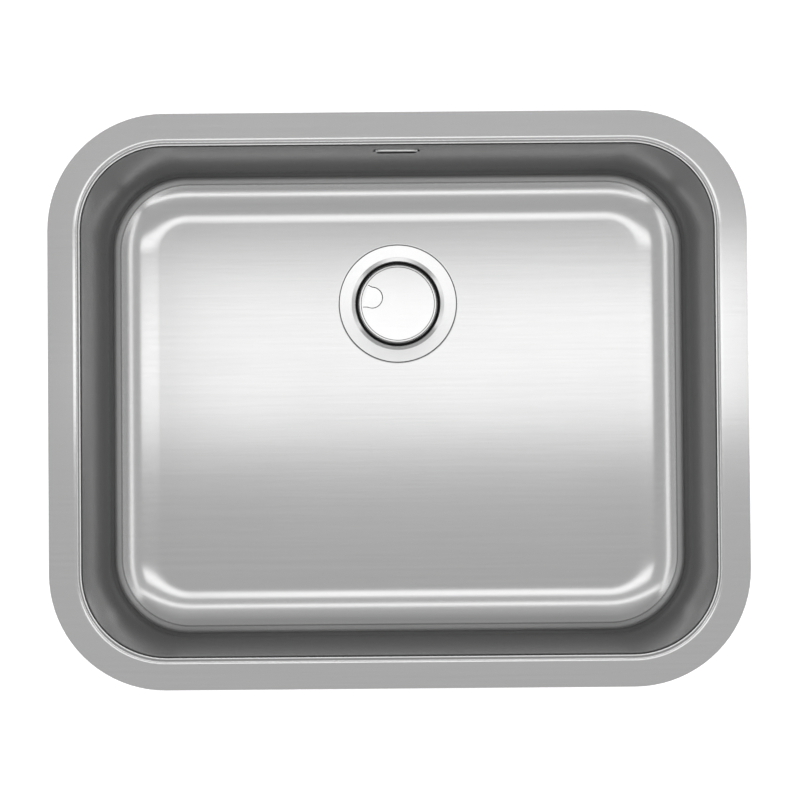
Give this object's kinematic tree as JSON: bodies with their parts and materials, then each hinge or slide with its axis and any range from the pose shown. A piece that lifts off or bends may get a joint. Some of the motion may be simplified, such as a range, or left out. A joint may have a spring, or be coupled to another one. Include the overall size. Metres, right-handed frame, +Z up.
{
  "type": "undermount kitchen sink",
  "caption": "Single rectangular undermount kitchen sink bowl with rounded corners, basket strainer waste with a lift-off lid and a slot overflow.",
  "frame": {"origin": "centre of the flange's top face, in the plane that is bedded against the worktop", "axes": "+Z up, +X to the right of someone who stands at the sink, +Y to the back, where the waste and the overflow are"},
  "size_m": [0.61, 0.5029, 0.269],
  "materials": {
    "bowl_steel": "fine brushed",
    "dish_steel": "satin",
    "basket_steel": "satin",
    "stem_steel": "turned",
    "lid_steel": "satin",
    "trim_steel": "polished",
    "screw_steel": "turned",
    "insert_brass": "turned",
    "waste_plastic": "moulded",
    "hose_plastic": "moulded",
    "seal_rubber": "matt",
    "pad_rubber": "matt"
  },
  "bodies": {
    "sink": {"sink_bowl": "bowl_steel", "sound_pad": "pad_rubber", "strainer_dish": "dish_steel", "dish_seal": "seal_rubber", "waste_seal": "seal_rubber", "waste_body": "waste_plastic", "screw_insert": "insert_brass", "waste_screw": "screw_steel", "overflow_trim": "trim_steel", "overflow_seal": "seal_rubber", "overflow_housing": "waste_plastic", "overflow_hose": "hose_plastic", "hose_nut_upper": "waste_plastic", "hose_nut_lower": "waste_plastic", "hose_washer_upper": "seal_rubber", "hose_washer_lower": "seal_rubber"},
    "basket": {"basket_cup": "basket_steel", "basket_rim_seal": "seal_rubber", "basket_stem": "stem_steel", "basket_plug": "seal_rubber"},
    "lid": {"lid_disc": "lid_steel", "lid_carrier": "waste_plastic"}
  },
  "joints": [
    {"name": "basket_lift", "type": "slide", "parent": "sink", "child": "basket", "axis": [0, 0, 1], "range_m": [0, 0.12]},
    {"name": "lid_lift", "type": "slide", "parent": "basket", "child": "lid", "axis": [0, 0, 1], "range_m": [0, 0.08]}
  ]
}
